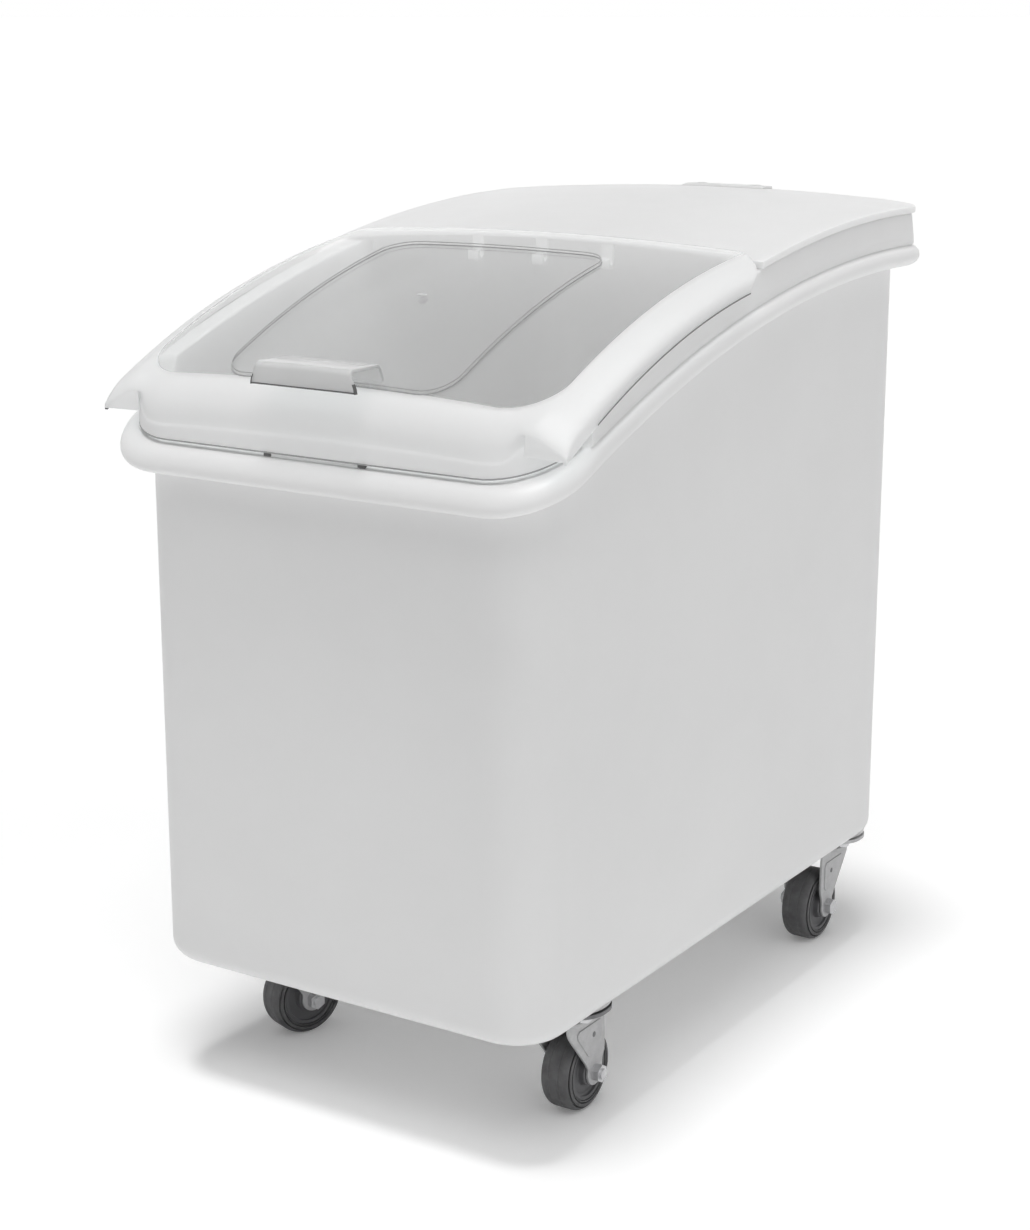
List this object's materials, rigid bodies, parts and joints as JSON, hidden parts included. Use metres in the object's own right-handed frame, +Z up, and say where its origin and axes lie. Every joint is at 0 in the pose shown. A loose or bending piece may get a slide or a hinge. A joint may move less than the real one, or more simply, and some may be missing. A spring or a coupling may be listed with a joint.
{
  "type": "rolling flour bin",
  "caption": "Rolling flour bin: a deep moulded tub with a beaded, arched rim, a crowned rear lid, a clear tilting front lid and plate-mounted swivel casters.",
  "frame": {"origin": "on the floor under the middle of the bin", "axes": "+X across the width to the right seen from the front, +Y from the clear front lid to the rear lid, +Z up"},
  "size_m": [0.47, 0.7391, 0.7757],
  "materials": {
    "tub_white": "satin moulded",
    "lid_white": "satin moulded",
    "lid_clear": "clear gloss",
    "zinc_plate": "zinc plated",
    "zinc_fork": "zinc plated",
    "zinc_bolt": "zinc plated",
    "wheel_core": "moulded",
    "tyre": "matt"
  },
  "bodies": {
    "tub": {"tub": "tub_white", "plate_screws": "zinc_bolt", "front_right_plate": "zinc_plate", "front_right_race": "zinc_plate", "front_right_kingpin": "zinc_bolt", "front_left_plate": "zinc_plate", "front_left_race": "zinc_plate", "front_left_kingpin": "zinc_bolt", "rear_right_plate": "zinc_plate", "rear_right_race": "zinc_plate", "rear_right_kingpin": "zinc_bolt", "rear_left_plate": "zinc_plate", "rear_left_race": "zinc_plate", "rear_left_kingpin": "zinc_bolt"},
    "rear_lid": {"rear_lid": "lid_white", "lid_hooks": "lid_white"},
    "clear_lid": {"clear_lid": "lid_clear", "finger_pull": "lid_clear"},
    "fork_front_right": {"front_right_fork": "zinc_fork", "front_right_axle_bolt": "zinc_bolt", "front_right_axle_nut": "zinc_bolt", "front_right_sleeve": "zinc_bolt"},
    "wheel_front_right": {"front_right_wheel_core": "wheel_core", "front_right_tyre": "tyre"},
    "fork_front_left": {"front_left_fork": "zinc_fork", "front_left_axle_bolt": "zinc_bolt", "front_left_axle_nut": "zinc_bolt", "front_left_sleeve": "zinc_bolt"},
    "wheel_front_left": {"front_left_wheel_core": "wheel_core", "front_left_tyre": "tyre"},
    "fork_rear_right": {"rear_right_fork": "zinc_fork", "rear_right_axle_bolt": "zinc_bolt", "rear_right_axle_nut": "zinc_bolt", "rear_right_sleeve": "zinc_bolt"},
    "wheel_rear_right": {"rear_right_wheel_core": "wheel_core", "rear_right_tyre": "tyre"},
    "fork_rear_left": {"rear_left_fork": "zinc_fork", "rear_left_axle_bolt": "zinc_bolt", "rear_left_axle_nut": "zinc_bolt", "rear_left_sleeve": "zinc_bolt"},
    "wheel_rear_left": {"rear_left_wheel_core": "wheel_core", "rear_left_tyre": "tyre"}
  },
  "joints": [
    {"name": "rear_lid_lift", "type": "slide", "parent": "tub", "child": "rear_lid", "axis": [0, 0, 1], "range_m": [0, 0.25]},
    {"name": "clear_lid_tilt", "type": "hinge", "parent": "rear_lid", "child": "clear_lid", "pos_m": [0, 0, 0.7523], "axis": [-1, 0, 0], "range_deg": [0, 110]},
    {"name": "front_right_swivel", "type": "hinge", "parent": "tub", "child": "fork_front_right", "pos_m": [0.157, -0.222, 0.1], "axis": [0, 0, 1], "continuous": true},
    {"name": "front_right_roll", "type": "hinge", "parent": "fork_front_right", "child": "wheel_front_right", "pos_m": [0.157, -0.198, 0.0375], "axis": [1, 0, 0], "continuous": true},
    {"name": "front_left_swivel", "type": "hinge", "parent": "tub", "child": "fork_front_left", "pos_m": [-0.157, -0.222, 0.1], "axis": [0, 0, 1], "continuous": true},
    {"name": "front_left_roll", "type": "hinge", "parent": "fork_front_left", "child": "wheel_front_left", "pos_m": [-0.14879, -0.19945, 0.0375], "axis": [0.9397, -0.342, 0], "continuous": true},
    {"name": "rear_right_swivel", "type": "hinge", "parent": "tub", "child": "fork_rear_right", "pos_m": [0.157, 0.299, 0.1], "axis": [0, 0, 1], "continuous": true},
    {"name": "rear_right_roll", "type": "hinge", "parent": "fork_rear_right", "child": "wheel_rear_right", "pos_m": [0.157, 0.275, 0.0375], "axis": [1, 0, 0], "continuous": true},
    {"name": "rear_left_swivel", "type": "hinge", "parent": "tub", "child": "fork_rear_left", "pos_m": [-0.157, 0.299, 0.1], "axis": [0, 0, 1], "continuous": true},
    {"name": "rear_left_roll", "type": "hinge", "parent": "fork_rear_left", "child": "wheel_rear_left", "pos_m": [-0.157, 0.275, 0.0375], "axis": [1, 0, 0], "continuous": true}
  ]
}
